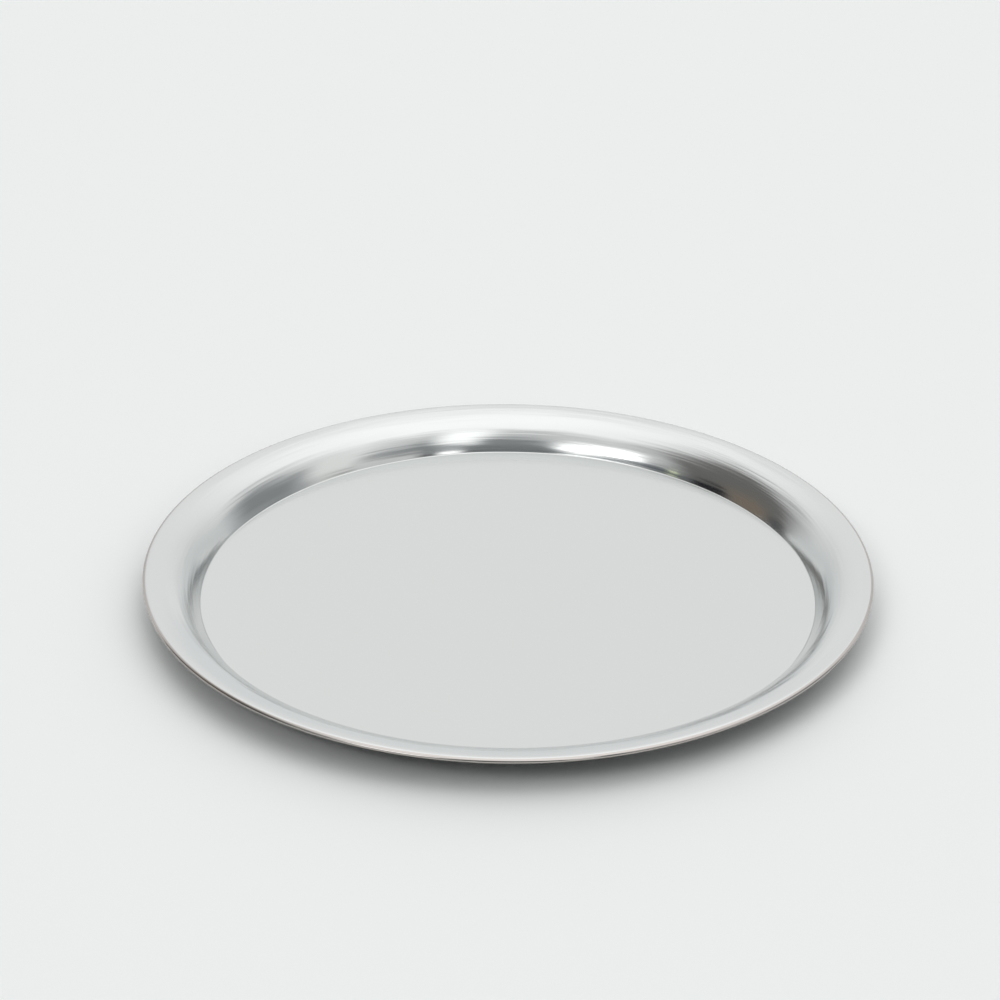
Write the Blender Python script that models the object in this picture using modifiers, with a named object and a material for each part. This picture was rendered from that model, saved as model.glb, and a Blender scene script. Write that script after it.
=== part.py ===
# Round serving tray pressed from one sheet of stainless steel.
# Lengths are in metres and angles in degrees, with +Z up.
# The origin is the centre of the underside, where the tray stands.

import math

import bmesh
import bpy

MM = 0.001

# The sheet that the tray is pressed from
SHEET_THICKNESS = 0.8 * MM

# The flat floor, out to where the fold begins
FLOOR_FLAT_RADIUS = 147.5 * MM

# The tight fold at the foot of the wall, as its radius on the inside of the tray
FOLD_INNER_RADIUS = 0.8 * MM
WALL_ANGLE = 63.0

# The flare opens like a bell, in a tighter bend and then a wider one, as radii on the upper skin
FLARE_RADIUS = 27.0 * MM
SHOULDER_ANGLE = 25.0
LIP_RADIUS = 33.0 * MM
LIP_ANGLE = 5.0

# The soft roll that turns the lip down just before its edge
ROLL_RADIUS = 5.0 * MM
ROLL_ANGLE = 30.0

# The hem, where the sheet is folded back under itself to leave a blunt edge
HEM_GAP = 0.2 * MM
HEM_DEPTH = 4.5 * MM

# How finely the round forms are divided
TURN_STEPS = 96
FOLD_SEGMENTS = 3
FLARE_SEGMENTS = 7
LIP_SEGMENTS = 4
ROLL_SEGMENTS = 6
HEM_SEGMENTS = 6
ROLL_RETURN_SEGMENTS = 3
HEM_RETURN_SEGMENTS = 2

# Points of the section closer than this are one point where they meet the axis
MERGE_DISTANCE = 0.001 * MM

# Brushed steel, as linear colour
STEEL_COLOUR = (0.62, 0.63, 0.62, 1.0)
STEEL_ROUGHNESS = 0.28
STEEL_METALLIC = 1.0


def clear_scene():
    """Remove what the start-up file holds."""
    for item in list(bpy.data.objects):
        bpy.data.objects.remove(item, do_unlink=True)


def part_collection():
    """Make the collection that holds the tray."""
    collection = bpy.data.collections.new("stainless_steel_tray")
    bpy.context.scene.collection.children.link(collection)
    return collection


def brushed_steel():
    """Satin stainless steel, as the pressed sheet is finished."""
    material = bpy.data.materials.new("brushed_steel")
    material.use_nodes = True
    shader = material.node_tree.nodes["Principled BSDF"]
    shader.inputs["Base Color"].default_value = STEEL_COLOUR
    shader.inputs["Roughness"].default_value = STEEL_ROUGHNESS
    shader.inputs["Metallic"].default_value = STEEL_METALLIC
    return material


class SheetSection:
    """The middle line of a bent sheet, drawn outwards from the axis as straights and bends."""

    def __init__(self, start_height):
        self.points = [(0.0, start_height)]
        self.heading = 0.0

    def straight(self, length):
        """Carry on along the heading."""
        across, height = self.points[-1]
        across += length * math.cos(self.heading)
        height += length * math.sin(self.heading)
        self.points.append((across, height))

    def bend(self, radius, angle, segments):
        """Turn upwards by an angle in degrees, or downwards where it is negative."""
        turn = math.radians(angle)
        side = math.copysign(radius, turn)
        across, height = self.points[-1]
        centre_across = across - side * math.sin(self.heading)
        centre_height = height + side * math.cos(self.heading)
        for segment in range(segments):
            share = (segment + 1) / segments
            heading = self.heading + turn * share
            across = centre_across + side * math.sin(heading)
            height = centre_height - side * math.cos(heading)
            self.points.append((across, height))
        self.heading += turn


def tray_section():
    """Follow the sheet from the middle of the floor to its cut edge inside the hem."""
    half_sheet = SHEET_THICKNESS / 2
    layer_pitch = SHEET_THICKNESS + HEM_GAP
    lip_radius = LIP_RADIUS - half_sheet
    roll_radius = ROLL_RADIUS - half_sheet
    # Under the lip, the folded layer keeps to the same centres, one layer further in
    return_radius = lip_radius - layer_pitch
    return_angle = math.degrees(HEM_DEPTH / return_radius)
    section = SheetSection(half_sheet)
    section.straight(FLOOR_FLAT_RADIUS)
    section.bend(FOLD_INNER_RADIUS + half_sheet, WALL_ANGLE, FOLD_SEGMENTS)
    section.bend(FLARE_RADIUS - half_sheet, SHOULDER_ANGLE - WALL_ANGLE, FLARE_SEGMENTS)
    section.bend(lip_radius, LIP_ANGLE - SHOULDER_ANGLE, LIP_SEGMENTS)
    section.bend(roll_radius, -ROLL_ANGLE, ROLL_SEGMENTS)
    section.bend(layer_pitch / 2, -180.0, HEM_SEGMENTS)
    section.bend(roll_radius - layer_pitch, ROLL_ANGLE, ROLL_RETURN_SEGMENTS)
    section.bend(return_radius, return_angle, HEM_RETURN_SEGMENTS)
    return section.points


def section_mesh(name, points):
    """Join the points of a section into a line of edges in the XZ plane."""
    outline = bmesh.new()
    corners = [outline.verts.new((across, 0.0, height)) for across, height in points]
    for first, second in zip(corners, corners[1:]):
        outline.edges.new((first, second))
    mesh = bpy.data.meshes.new(name)
    outline.to_mesh(mesh)
    outline.free()
    return mesh


def turned_sheet(name, points, collection, material):
    """Turn a section about the Z axis and give it the thickness of the sheet."""
    sheet = bpy.data.objects.new(name, section_mesh(name, points))
    sheet.data.materials.append(material)
    collection.objects.link(sheet)
    turn = sheet.modifiers.new("Turn", "SCREW")
    turn.axis = "Z"
    turn.angle = math.radians(360.0)
    turn.steps = TURN_STEPS
    turn.render_steps = TURN_STEPS
    turn.use_merge_vertices = True
    turn.merge_threshold = MERGE_DISTANCE
    turn.use_smooth_shade = True
    skin = sheet.modifiers.new("Sheet", "SOLIDIFY")
    skin.thickness = SHEET_THICKNESS
    skin.offset = 0.0
    skin.use_even_offset = True
    return sheet


clear_scene()
turned_sheet("tray_pressing", tray_section(), part_collection(), brushed_steel())
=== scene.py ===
import math

import bpy
from mathutils import Matrix, Vector


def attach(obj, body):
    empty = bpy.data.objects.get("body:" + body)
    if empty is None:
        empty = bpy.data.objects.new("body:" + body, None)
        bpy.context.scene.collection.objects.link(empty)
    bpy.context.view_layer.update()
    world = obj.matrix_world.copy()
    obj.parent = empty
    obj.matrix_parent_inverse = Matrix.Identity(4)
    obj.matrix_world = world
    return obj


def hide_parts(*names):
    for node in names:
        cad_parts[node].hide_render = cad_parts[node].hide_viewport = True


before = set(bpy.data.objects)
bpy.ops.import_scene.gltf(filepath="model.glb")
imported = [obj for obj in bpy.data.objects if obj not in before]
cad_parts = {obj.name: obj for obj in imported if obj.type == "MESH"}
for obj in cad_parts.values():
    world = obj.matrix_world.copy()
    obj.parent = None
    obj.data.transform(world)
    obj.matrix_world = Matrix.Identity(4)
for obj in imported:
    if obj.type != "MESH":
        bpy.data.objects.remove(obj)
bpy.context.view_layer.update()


# The tray's steel: stainless sheet with the satin skin that the mill's rolls leave. The pressed rim
# was ground in circles as the tray spun, then its edge was folded under by a burnishing tool, while
# the floor and the whole underside were left dull as they came. The underside's dark colour is painted
# shade, which deepens the shadow under the rim.

def add_node(tree, kind, settings=None, inputs=None):
    """Add a node, set its properties, and fill its inputs with values or with sockets to link."""
    node = tree.nodes.new(kind)
    for name, value in (settings or {}).items():
        setattr(node, name, value)
    for key, value in (inputs or {}).items():
        if isinstance(value, bpy.types.NodeSocket):
            tree.links.new(value, node.inputs[key])
        else:
            node.inputs[key].default_value = value
    return node


def reckon(tree, operation, *values):
    """One step of arithmetic on numbers, which are values or sockets."""
    inputs = dict(enumerate(values))
    return add_node(tree, "ShaderNodeMath", {"operation": operation}, inputs).outputs[0]


def reckon_vector(tree, operation, *values, output="Vector"):
    """One step of arithmetic on vectors, which are values or sockets."""
    inputs = dict(enumerate(values))
    return add_node(tree, "ShaderNodeVectorMath", {"operation": operation}, inputs).outputs[output]


def vector_from(tree, x=0.0, y=0.0, z=0.0):
    """Put three numbers together as a vector."""
    return add_node(tree, "ShaderNodeCombineXYZ", inputs={0: x, 1: y, 2: z}).outputs[0]


def mix_colours(tree, factor, first, second, label=""):
    """Blend from one colour to another."""
    mix = add_node(tree, "ShaderNodeMix", {"data_type": "RGBA", "label": label},
                   {"Factor": factor, 6: first, 7: second})
    return mix.outputs[2]


def linear(hex_colour):
    """Turn an sRGB hex colour into the linear values that a shader takes."""
    channels = [int(hex_colour[start:start + 2], 16) / 255 for start in (1, 3, 5)]
    straight = [c / 12.92 if c <= 0.04045 else ((c + 0.055) / 1.055) ** 2.4 for c in channels]
    return (*straight, 1.0)


def add_rings(tree, spacing, arc_waves):
    """Noise that follows circles round the Z axis: fine across them, and long along them."""
    coordinates = add_node(tree, "ShaderNodeTexCoord").outputs["Object"]
    flat = reckon_vector(tree, "MULTIPLY", coordinates, (1.0, 1.0, 0.0))
    outward = reckon_vector(tree, "NORMALIZE", flat)
    radius = reckon_vector(tree, "LENGTH", flat, output="Value")
    place = add_node(tree, "ShaderNodeSeparateXYZ", inputs={0: coordinates})
    around = add_node(tree, "ShaderNodeSeparateXYZ", inputs={0: outward})
    across = reckon(tree, "DIVIDE", radius, spacing)
    height = reckon(tree, "DIVIDE", place.outputs["Z"], spacing)
    along_x = reckon(tree, "MULTIPLY", around.outputs["X"], arc_waves)
    along_y = reckon(tree, "MULTIPLY", around.outputs["Y"], arc_waves)
    noise = add_node(tree, "ShaderNodeTexNoise", {"noise_dimensions": "4D"},
                     {"Vector": vector_from(tree, across, height, along_x), "W": along_y,
                      "Scale": 1.0, "Detail": 2.0, "Roughness": 0.5})
    return noise.outputs["Fac"], outward


def swing(tree, rings, lowest, highest):
    """Stretch the ring noise to swing between two values."""
    return add_node(tree, "ShaderNodeMapRange", {"clamp": False},
                    {"Value": rings, "To Min": lowest, "To Max": highest}).outputs[0]


def steel_finish(name, colour, roughness, anisotropy, ring_spacing, arc_waves, ring_tilt, wear):
    """Stainless steel with rings in its skin, which tilt the surface to and fro across themselves."""
    material = bpy.data.materials.new(name)
    material.use_nodes = True
    tree = material.node_tree
    shader = tree.nodes["Principled BSDF"]
    shader.inputs["Metallic"].default_value = 1.0
    shader.inputs["Anisotropic"].default_value = anisotropy
    rings, outward = add_rings(tree, ring_spacing, arc_waves)
    tree.links.new(outward, shader.inputs["Tangent"])
    lean = swing(tree, rings, -ring_tilt, ring_tilt)
    tilt = add_node(tree, "ShaderNodeVectorMath", {"operation": "SCALE"},
                    {0: outward, "Scale": lean}).outputs[0]
    normal = add_node(tree, "ShaderNodeNewGeometry").outputs["Normal"]
    leaning = reckon_vector(tree, "NORMALIZE", reckon_vector(tree, "ADD", normal, tilt))
    tree.links.new(leaning, shader.inputs["Normal"])
    gloss = swing(tree, rings, roughness - wear, roughness + wear)
    tree.links.new(gloss, shader.inputs["Roughness"])
    bright = linear(colour)
    dull = [channel * (1 - wear) for channel in bright[:3]] + [1.0]
    tree.links.new(mix_colours(tree, rings, bright, dull), shader.inputs["Base Color"])
    return material


# Ground rings round the rim, drawn at 0.9 mm where the real scratches lie closer than 0.1 mm: they
# stretch each reflection across themselves into soft streaks
rim_steel = steel_finish("ring_ground_stainless", "#d0d2d1", roughness=0.15, anisotropy=0.8,
                         ring_spacing=0.0009, arc_waves=3.5, ring_tilt=0.2, wear=0.02)
# The mill's satin skin, which blurs the wall behind the tray into one even pale grey
floor_steel = steel_finish("satin_rolled_stainless", "#d0d2d1", roughness=0.15, anisotropy=0.0,
                           ring_spacing=0.0011, arc_waves=3.0, ring_tilt=0.002, wear=0.01)
# The bend that was burnished smooth, which draws the room as thin light and dark lines on the edge; its
# colour is darkened and warmed as painted shade, to deepen the dark line along the edge
hem_steel_darkened_as_shade = steel_finish("burnished_hem_darkened_as_shade", "#bbb6b2", roughness=0.06, anisotropy=0.0,
                         ring_spacing=0.0009, arc_waves=3.5, ring_tilt=0.02, wear=0.01)
# A dull finish whose dark grey colour is painted shade: far darker than the steel, so that little of the
# table's light is thrown back under the rim, which deepens the shadow there
shade_darkened_under_steel = steel_finish("dull_stainless_darkened_as_shade", "#505150", roughness=0.42, anisotropy=0.0,
                           ring_spacing=0.004, arc_waves=3.0, ring_tilt=0.02, wear=0.05)


# The tray: one pressing of 0.8 mm sheet. A press draws the flat floor down inside a tight fold, the
# wall flares out of it like a bell, and the lip is rolled down and folded under as a blunt hem.

sheet = 0.0008
floor_radius = 0.1475
fold_radius, wall_angle = 0.0008, 63.0
flare_radius, shoulder_angle = 0.027, 25.0
lip_radius, lip_angle = 0.033, 5.0
roll_radius, roll_angle = 0.005, 30.0
hem_gap, hem_depth = 0.0002, 0.0045

half = sheet / 2
layer = sheet + hem_gap
hem_angle = math.degrees(hem_depth / (lip_radius - half - layer))
# Each bend of the sheet's middle line, from the floor outwards: radius, turn and how many pieces
bends = [
    ("Fold", fold_radius + half, wall_angle, 9),
    ("Flare", flare_radius - half, shoulder_angle - wall_angle, 21),
    ("Lip", lip_radius - half, lip_angle - shoulder_angle, 14),
    ("Roll", roll_radius - half, -roll_angle, 12),
    ("Hem", layer / 2, -180.0, 14),
    ("Roll underneath", roll_radius - half - layer, roll_angle, 6),
    ("Lip underneath", lip_radius - half - layer, hem_angle, 3),
]
bends_before_hem = 4
floor_pieces = 8
steps_around = 384
# The first and last columns of the turned sheet, which lie on each other, join within this
seam_distance = 0.000001

# How far out the sheet's line has come where the hem begins
heading, hem_start = 0.0, floor_radius
for _, radius, turn, _ in bends[:bends_before_hem]:
    ahead = heading + math.radians(turn)
    hem_start += math.copysign(radius, turn) * (math.sin(ahead) - math.sin(heading))
    heading = ahead


def add_sockets(tree, direction, sockets):
    """Give a node group its named inputs or outputs."""
    for name, kind in sockets:
        tree.interface.new_socket(name, in_out=direction, socket_type="NodeSocket" + kind)


def turn_upwards(tree, vector, angle):
    """Turn a vector in the section's plane, from outwards towards upwards."""
    return add_node(tree, "ShaderNodeVectorRotate", {"rotation_type": "Y_AXIS", "invert": True},
                    {"Vector": vector, "Angle": angle}).outputs[0]


def bend_group():
    """A node group that carries the sheet's line on round one bend from its tip."""
    tree = bpy.data.node_groups.new("sheet_bend", "GeometryNodeTree")
    add_sockets(tree, "INPUT", [("Line", "Geometry"), ("Tip", "Vector"), ("Heading", "Float"),
                                ("Radius", "Float"), ("Turn", "Float"), ("Pieces", "Int")])
    add_sockets(tree, "OUTPUT", [("Line", "Geometry"), ("Tip", "Vector"), ("Heading", "Float")])
    given = add_node(tree, "NodeGroupInput").outputs
    side = reckon(tree, "SIGN", given["Turn"])
    down = reckon(tree, "MULTIPLY", reckon(tree, "MULTIPLY", side, given["Radius"]), -1.0)
    arm = vector_from(tree, z=down)
    first_arm = turn_upwards(tree, arm, given["Heading"])
    centre = reckon_vector(tree, "SUBTRACT", given["Tip"], first_arm)
    last_heading = reckon(tree, "ADD", given["Heading"], given["Turn"])
    last_tip = reckon_vector(tree, "ADD", centre, turn_upwards(tree, arm, last_heading))
    number = reckon(tree, "ADD", add_node(tree, "GeometryNodeInputIndex").outputs[0], 1.0)
    share = reckon(tree, "DIVIDE", number, given["Pieces"])
    heading = reckon(tree, "MULTIPLY_ADD", given["Turn"], share, given["Heading"])
    point = reckon_vector(tree, "ADD", centre, turn_upwards(tree, arm, heading))
    arc = add_node(tree, "GeometryNodeMeshLine", inputs={"Count": given["Pieces"]}).outputs[0]
    placed = add_node(tree, "GeometryNodeSetPosition",
                      inputs={"Geometry": arc, "Position": point}).outputs[0]
    joined = add_node(tree, "GeometryNodeJoinGeometry")
    tree.links.new(placed, joined.inputs[0])
    tree.links.new(given["Line"], joined.inputs[0])
    add_node(tree, "NodeGroupOutput",
             inputs={"Line": joined.outputs[0], "Tip": last_tip, "Heading": last_heading})
    return tree


def section_line(tree, given):
    """Draw the line of the sheet from the middle of the floor through all its bends."""
    start = vector_from(tree, z=given["Start height"])
    tip = vector_from(tree, given["Floor radius"], z=given["Start height"])
    step = vector_from(tree, reckon(tree, "DIVIDE", given["Floor radius"], given["Floor pieces"]))
    line = add_node(tree, "GeometryNodeMeshLine",
                    inputs={"Count": reckon(tree, "ADD", given["Floor pieces"], 1.0),
                            "Start Location": start, "Offset": step}).outputs[0]
    heading = 0.0
    group = bend_group()
    for name, *_ in bends:
        bend = add_node(tree, "GeometryNodeGroup", {"node_tree": group},
                        {"Line": line, "Tip": tip, "Heading": heading,
                         "Radius": given[name + " radius"], "Turn": given[name + " turn"],
                         "Pieces": given[name + " pieces"]}).outputs
        line, tip, heading = bend["Line"], bend["Tip"], bend["Heading"]
    return line


def turn_line(tree, given, line, place):
    """Lay the line's points along a grid whose columns are turned once round the Z axis."""
    points = add_node(tree, "GeometryNodeAttributeDomainSize", inputs={0: line}).outputs["Point Count"]
    columns = reckon(tree, "ADD", given["Steps around"], 1.0)
    grid = add_node(tree, "GeometryNodeMeshGrid",
                    inputs={"Vertices X": columns, "Vertices Y": points}).outputs[0]
    index = add_node(tree, "GeometryNodeInputIndex").outputs[0]
    row = reckon(tree, "MODULO", index, points)
    column = reckon(tree, "FLOOR", reckon(tree, "DIVIDE", index, points))
    share = reckon(tree, "DIVIDE", column, given["Steps around"])
    sample = add_node(tree, "GeometryNodeSampleIndex",
                      {"data_type": "FLOAT_VECTOR", "domain": "POINT"},
                      {"Geometry": line, "Value": place, "Index": row}).outputs[0]
    spun = add_node(tree, "ShaderNodeVectorRotate", {"rotation_type": "Z_AXIS"},
                    {"Vector": sample, "Angle": reckon(tree, "MULTIPLY", share, math.tau)}).outputs[0]
    turned = add_node(tree, "GeometryNodeSetPosition",
                      inputs={"Geometry": grid, "Position": spun}).outputs[0]
    return add_node(tree, "GeometryNodeMergeByDistance",
                    inputs={"Geometry": turned, "Distance": seam_distance}).outputs[0]


def set_finish(tree, geometry, material, selection=True):
    """Give the selected faces a finish."""
    return add_node(tree, "GeometryNodeSetMaterial",
                    inputs={"Geometry": geometry, "Selection": selection,
                            "Material": material}).outputs[0]


def pressing_tree():
    """Draw the sheet's line through its bends, then turn it once round the Z axis."""
    tree = bpy.data.node_groups.new("pressed_tray", "GeometryNodeTree")
    add_sockets(tree, "INPUT", [("Floor radius", "Float"), ("Start height", "Float"),
                                ("Steps around", "Int"), ("Floor pieces", "Int"),
                                ("Hem start", "Float")])
    for name, *_ in bends:
        add_sockets(tree, "INPUT", [(name + " radius", "Float"), (name + " turn", "Float"),
                                    (name + " pieces", "Int")])
    add_sockets(tree, "OUTPUT", [("Geometry", "Geometry")])
    given = add_node(tree, "NodeGroupInput").outputs
    place = add_node(tree, "GeometryNodeInputPosition").outputs[0]
    closed = turn_line(tree, given, section_line(tree, given), place)
    smooth = add_node(tree, "GeometryNodeSetShadeSmooth", inputs={"Geometry": closed}).outputs[0]
    real = add_node(tree, "GeometryNodeRealizeInstances", inputs={"Geometry": smooth}).outputs[0]
    radius = reckon_vector(tree, "LENGTH", place, output="Value")
    on_floor = reckon(tree, "LESS_THAN", radius, given["Floor radius"])
    on_hem = reckon(tree, "GREATER_THAN", radius, given["Hem start"])
    finished = set_finish(tree, real, rim_steel)
    finished = set_finish(tree, finished, floor_steel, on_floor)
    # The hem's darker, warmer colour is painted shade along the edge
    finished = set_finish(tree, finished, hem_steel_darkened_as_shade, on_hem)
    add_node(tree, "NodeGroupOutput", inputs={"Geometry": finished})
    return tree


def press_tray():
    """Evaluate the pressing, give it the sheet's thickness and keep it as a plain mesh."""
    tray = bpy.data.objects.new("tray", bpy.data.meshes.new("tray"))
    bpy.context.scene.collection.objects.link(tray)
    tree = pressing_tree()
    values = {"Floor radius": floor_radius, "Start height": half, "Steps around": steps_around,
              "Floor pieces": floor_pieces, "Hem start": hem_start}
    for name, radius, turn, pieces in bends:
        values[name + " radius"] = radius
        values[name + " turn"] = math.radians(turn)
        values[name + " pieces"] = pieces
    pressing = tray.modifiers.new("Pressing", "NODES")
    pressing.node_group = tree
    for socket in tree.interface.items_tree:
        if socket.name in values:
            pressing[socket.identifier] = values[socket.name]
    skin = tray.modifiers.new("Sheet", "SOLIDIFY")
    skin.thickness = sheet
    skin.offset = 0.0
    skin.use_even_offset = True
    depsgraph = bpy.context.evaluated_depsgraph_get()
    mesh = bpy.data.meshes.new_from_object(tray.evaluated_get(depsgraph))
    tray.modifiers.clear()
    tray.data = mesh
    # The lower skin takes the underside steel, whose dark colour is painted shade for the shadow under
    # the rim
    mesh.materials.append(shade_darkened_under_steel)
    # The thickened sheet lists the faces of its lower skin first, then as many of its upper one,
    # then the strip that closes its cut edge
    lower_faces = (len(mesh.polygons) - steps_around) // 2
    for face in mesh.polygons[:lower_faces]:
        face.material_index = len(mesh.materials) - 1
    return tray


tray = press_tray()
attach(tray, "root")
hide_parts("tray_pressing")


# The table: a sheet of pale matt painted card, wide enough to fill the view. It has no grain, so
# nothing on it shows but the soft shadow that gathers under the rim.

table_colour = "#f6f8f7"
table_roughness, table_sheen = 0.6, 0.3
table_half_width = 30.0
table_gap = 0.0001


def lay_table():
    """One flat sheet, a hair below the tray's underside so that the two faces don't flicker."""
    material = bpy.data.materials.new("matt_painted_card")
    material.use_nodes = True
    shader = material.node_tree.nodes["Principled BSDF"]
    shader.inputs["Base Color"].default_value = linear(table_colour)
    shader.inputs["Roughness"].default_value = table_roughness
    shader.inputs["Specular IOR Level"].default_value = table_sheen
    mesh = bpy.data.meshes.new("table")
    reach = table_half_width
    corners = [(-reach, -reach), (reach, -reach), (reach, reach), (-reach, reach)]
    mesh.from_pydata([(x, y, -table_gap) for x, y in corners], [], [(0, 1, 2, 3)])
    mesh.materials.append(material)
    table = bpy.data.objects.new("table", mesh)
    bpy.context.scene.collection.objects.link(table)


lay_table()


# The studio: a pale room that darkens towards the floor and the camera, with a big soft lamp overhead
# and smaller ones in front, strips of pale paper at the table's edge, and a dim wall at the right and
# dark cloth at the left for the steel to draw its shape from.

skirting, wall, upper_wall = (0.53, 0.56, 0.575), (0.735, 0.76, 0.77), (0.96, 0.96, 0.96)
# The sine of the height at which each tone of the wall is reached
wall_foot, wall_top = 0.12, 0.55
# The room darkens from beside the tray to well behind the camera, down to this share and tint
darkening_start, darkening_end = 0.1, -0.55
behind_camera_share = 0.30
behind_camera_tint = (0.95, 1.0, 1.03)

# Each: bearing, height and tilt, half width and its softness, half height and its softness, all in
# degrees, then its brightness. Bearing 0 is straight behind the tray and 90 is to its right.
soft_panels = [
    ("paler wall behind", (3, 24, 0), (20, 12), (17, 8), (1.06, 1.06, 1.06)),
    ("pale paper behind", (4, 9, 0), (5, 3), (12, 5), (0.93, 0.95, 0.96)),
    ("upper wall behind", (2, 55, 0), (21.5, 12), (15, 10), (1.23, 1.23, 1.23)),
    ("ceiling", (20, 76, 20), (34, 14), (27, 14), (1.36, 1.36, 1.36)),
    ("dim wall at the left", (-58, 36, 20), (14, 9), (15, 11), (0.5, 0.5, 0.5)),
    ("right wall", (77, 25, -12), (16, 9), (21, 16), (0.31, 0.325, 0.335)),
    ("right front", (107, 34, -15), (9, 5), (24, 8), (1.05, 1.05, 1.04)),
    ("dark room below the camera", (180, 3, 0), (66, 17), (23, 5), (0.03, 0.02, 0.018)),
    ("pale wall at right front", (131, 27, 0), (12, 3), (8, 4), (0.9, 0.9, 0.9)),
    ("ceiling at right front", (120, 60, 0), (10, 3), (10, 6), (1.2, 1.2, 1.2)),
    ("ceiling in front", (172, 66, 0), (30, 12), (9, 7), (0.78, 0.79, 0.79)),
    ("dark cloth", (-82, 24, 2), (24, 7), (36, 11), (0.18, 0.176, 0.17)),
    ("warm fold of the cloth", (-80, 18, 0), (9, 6), (12, 9), (0.25, 0.205, 0.165)),
    ("end of the cloth", (-67, 8, 0), (4, 3), (8, 6), (0.1, 0.1, 0.105)),
    ("darkest cloth", (-100, 12, 0), (8, 3), (14, 7), (0.01, 0.01, 0.015)),
    ("front shadow", (-132, 18, 0), (20, 4), (9, 3), (0.10, 0.11, 0.13)),
    ("pale wall at left front", (-115, 48, 0), (7, 5), (9, 6), (0.7, 0.71, 0.71)),
    ("paper low at the left", (-46, 1, 0), (13, 3), (8, 5), (0.92, 0.93, 0.93)),
    ("paper low at the right", (48, 1, 0), (11, 3), (8, 4), (0.9, 0.91, 0.91)),
    ("overhead lamp", (25, 80, 25), (16, 9), (17, 10), (1.5, 1.5, 1.5)),
    ("lamp beside the camera", (157, 26, 0), (4, 2.5), (6, 3), (2.3, 2.3, 2.3)),
    ("that lamp on the ceiling", (156, 60, 0), (6, 4), (14, 6), (1.7, 1.71, 1.71)),
    ("glow of the lamp on the wall", (-138, 46, 0), (14, 9), (10, 8), (1.1, 1.1, 1.1)),
    ("lamp at front left", (-142, 40, 0), (12, 6), (5.5, 5), (5.0, 5.02, 5.02)),
    ("small lamp", (-114, 27, 0), (1.8, 1), (2.5, 1.5), (1.4, 1.5, 1.0)),
]


def soft_edge(tree, towards, axis, half_size, softness):
    """A mask that fades out at both ends of a panel, along one of its axes."""
    offset = reckon_vector(tree, "DOT_PRODUCT", towards, axis, output="Value")
    inner = math.sin(math.radians(half_size - softness))
    outer = math.sin(math.radians(half_size + softness))
    return add_node(tree, "ShaderNodeMapRange", {"interpolation_type": "SMOOTHSTEP"},
                    {"Value": reckon(tree, "ABSOLUTE", offset), "From Min": inner,
                     "From Max": outer, "To Min": 1.0, "To Max": 0.0}).outputs[0]


def plain_room(tree, towards):
    """The walls and ceiling before anything hangs on them, darker low down and behind the camera."""
    parts = add_node(tree, "ShaderNodeSeparateXYZ", inputs={0: towards}).outputs
    low = add_node(tree, "ShaderNodeMapRange",
                   inputs={"Value": parts["Z"], "From Max": wall_foot}).outputs[0]
    high = add_node(tree, "ShaderNodeMapRange",
                    inputs={"Value": parts["Z"], "From Min": wall_foot, "From Max": wall_top}).outputs[0]
    low_wall = mix_colours(tree, low, (*skirting, 1.0), (*wall, 1.0))
    back = mix_colours(tree, high, low_wall, (*upper_wall, 1.0))
    front = add_node(tree, "ShaderNodeMapRange", {"interpolation_type": "SMOOTHSTEP"},
                     {"Value": parts["Y"], "From Min": darkening_start,
                      "From Max": darkening_end}).outputs[0]
    shade = [behind_camera_share * channel for channel in behind_camera_tint] + [1.0]
    share = mix_colours(tree, front, (1.0, 1.0, 1.0, 1.0), shade)
    return reckon_vector(tree, "MULTIPLY", share, back)


def light_studio():
    """Build the room as the world's light, from a pale ground and soft-edged panels laid over it."""
    world = bpy.data.worlds.new("studio")
    bpy.context.scene.world = world
    world.use_nodes = True
    tree = world.node_tree
    towards = add_node(tree, "ShaderNodeTexCoord").outputs["Generated"]
    room = plain_room(tree, towards)
    for name, (bearing, height, tilt), width, length, brightness in soft_panels:
        facing = (Matrix.Rotation(-math.radians(bearing), 3, "Z")
                  @ Matrix.Rotation(math.radians(height), 3, "X")
                  @ Matrix.Rotation(math.radians(tilt), 3, "Y"))
        across = soft_edge(tree, towards, facing @ Vector((1, 0, 0)), *width)
        along = soft_edge(tree, towards, facing @ Vector((0, 0, 1)), *length)
        ahead = reckon_vector(tree, "DOT_PRODUCT", towards, facing @ Vector((0, 1, 0)), output="Value")
        this_side = reckon(tree, "GREATER_THAN", ahead, 0.0)
        mask = reckon(tree, "MULTIPLY", reckon(tree, "MULTIPLY", across, along), this_side)
        room = mix_colours(tree, mask, room, (*brightness, 1.0), label=name)
    tree.links.new(room, tree.nodes["Background"].inputs["Color"])


light_studio()


# The camera stands in front of the tray and looks down at it, far enough back for the round rim to
# stay a clean ellipse, with the tray set a little below the middle of the frame.

outer_radius = 0.175
camera_distance = 8.5 * outer_radius
camera_height_angle = math.radians(29.57)
camera_roll = math.radians(0.49)
frame_pixels = 1000.0
pixels_per_radius = 362.0
floor_centre_pixel = (508.6, 591.2)


def place_camera():
    """Stand the camera at its distance and turn it to put the floor's centre on its pixel."""
    data = bpy.data.cameras.new("camera")
    camera = bpy.data.objects.new("camera", data)
    bpy.context.scene.collection.objects.link(camera)
    focal_pixels = pixels_per_radius * camera_distance / outer_radius
    data.lens = data.sensor_width * focal_pixels / frame_pixels
    pan = math.atan((floor_centre_pixel[0] - frame_pixels / 2) / focal_pixels)
    tilt = math.atan((floor_centre_pixel[1] - frame_pixels / 2) / focal_pixels)
    back = camera_distance * math.cos(camera_height_angle)
    up = camera_distance * math.sin(camera_height_angle) + sheet
    camera.matrix_world = (Matrix.Translation((0.0, -back, up))
                           @ Matrix.Rotation(math.pi / 2 - camera_height_angle + tilt, 4, "X")
                           @ Matrix.Rotation(pan, 4, "Y")
                           @ Matrix.Rotation(camera_roll, 4, "Z"))
    bpy.context.scene.camera = camera


place_camera()
bpy.context.scene.view_settings.view_transform = "Standard"
